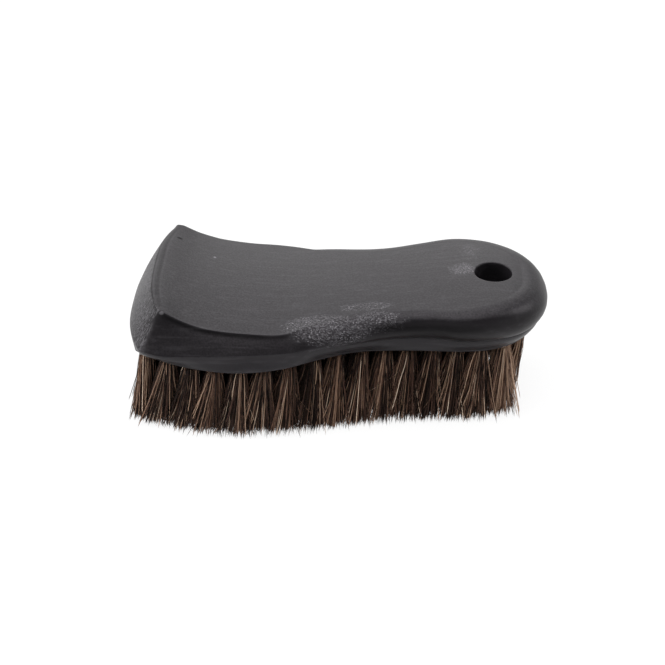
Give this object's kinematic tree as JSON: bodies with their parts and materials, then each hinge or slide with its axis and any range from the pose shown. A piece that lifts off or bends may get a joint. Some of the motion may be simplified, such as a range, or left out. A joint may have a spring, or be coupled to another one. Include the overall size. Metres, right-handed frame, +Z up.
{
  "type": "upholstery brush",
  "caption": "Hand-sized upholstery brush: a moulded plastic grip with a square nose, round tail and hanging hole, over a block set with tufts of dark horsehair.",
  "frame": {"origin": "centre of the brush's box in X and Y, on the surface that the hair tips stand on", "axes": "+X along the brush from its square nose to its round tail, +Y across it, +Z up from the hair tips to the grip"},
  "size_m": [0.1647, 0.0832, 0.0545],
  "materials": {
    "grip_moulding": "black, fine moulded grain, lightly scuffed",
    "tuft_block": "black, fine moulded grain",
    "horsehair": "natural horsehair, black to dark brown, soft sheen"
  },
  "bodies": {
    "root": {"grip_moulding": "grip_moulding", "tuft_block": "tuft_block", "tuft_column_01": "horsehair", "tuft_column_02": "horsehair", "tuft_column_03": "horsehair", "tuft_column_04": "horsehair", "tuft_column_05": "horsehair", "tuft_column_06": "horsehair", "tuft_column_07": "horsehair", "tuft_column_08": "horsehair", "tuft_column_09": "horsehair", "tuft_column_10": "horsehair", "tuft_column_11": "horsehair", "tuft_column_12": "horsehair", "tuft_column_13": "horsehair", "tuft_column_14": "horsehair", "tuft_column_15_far": "horsehair", "tuft_column_15_near": "horsehair", "tuft_column_16_far": "horsehair", "tuft_column_16_near": "horsehair", "tuft_column_17": "horsehair"}
  },
  "joints": []
}
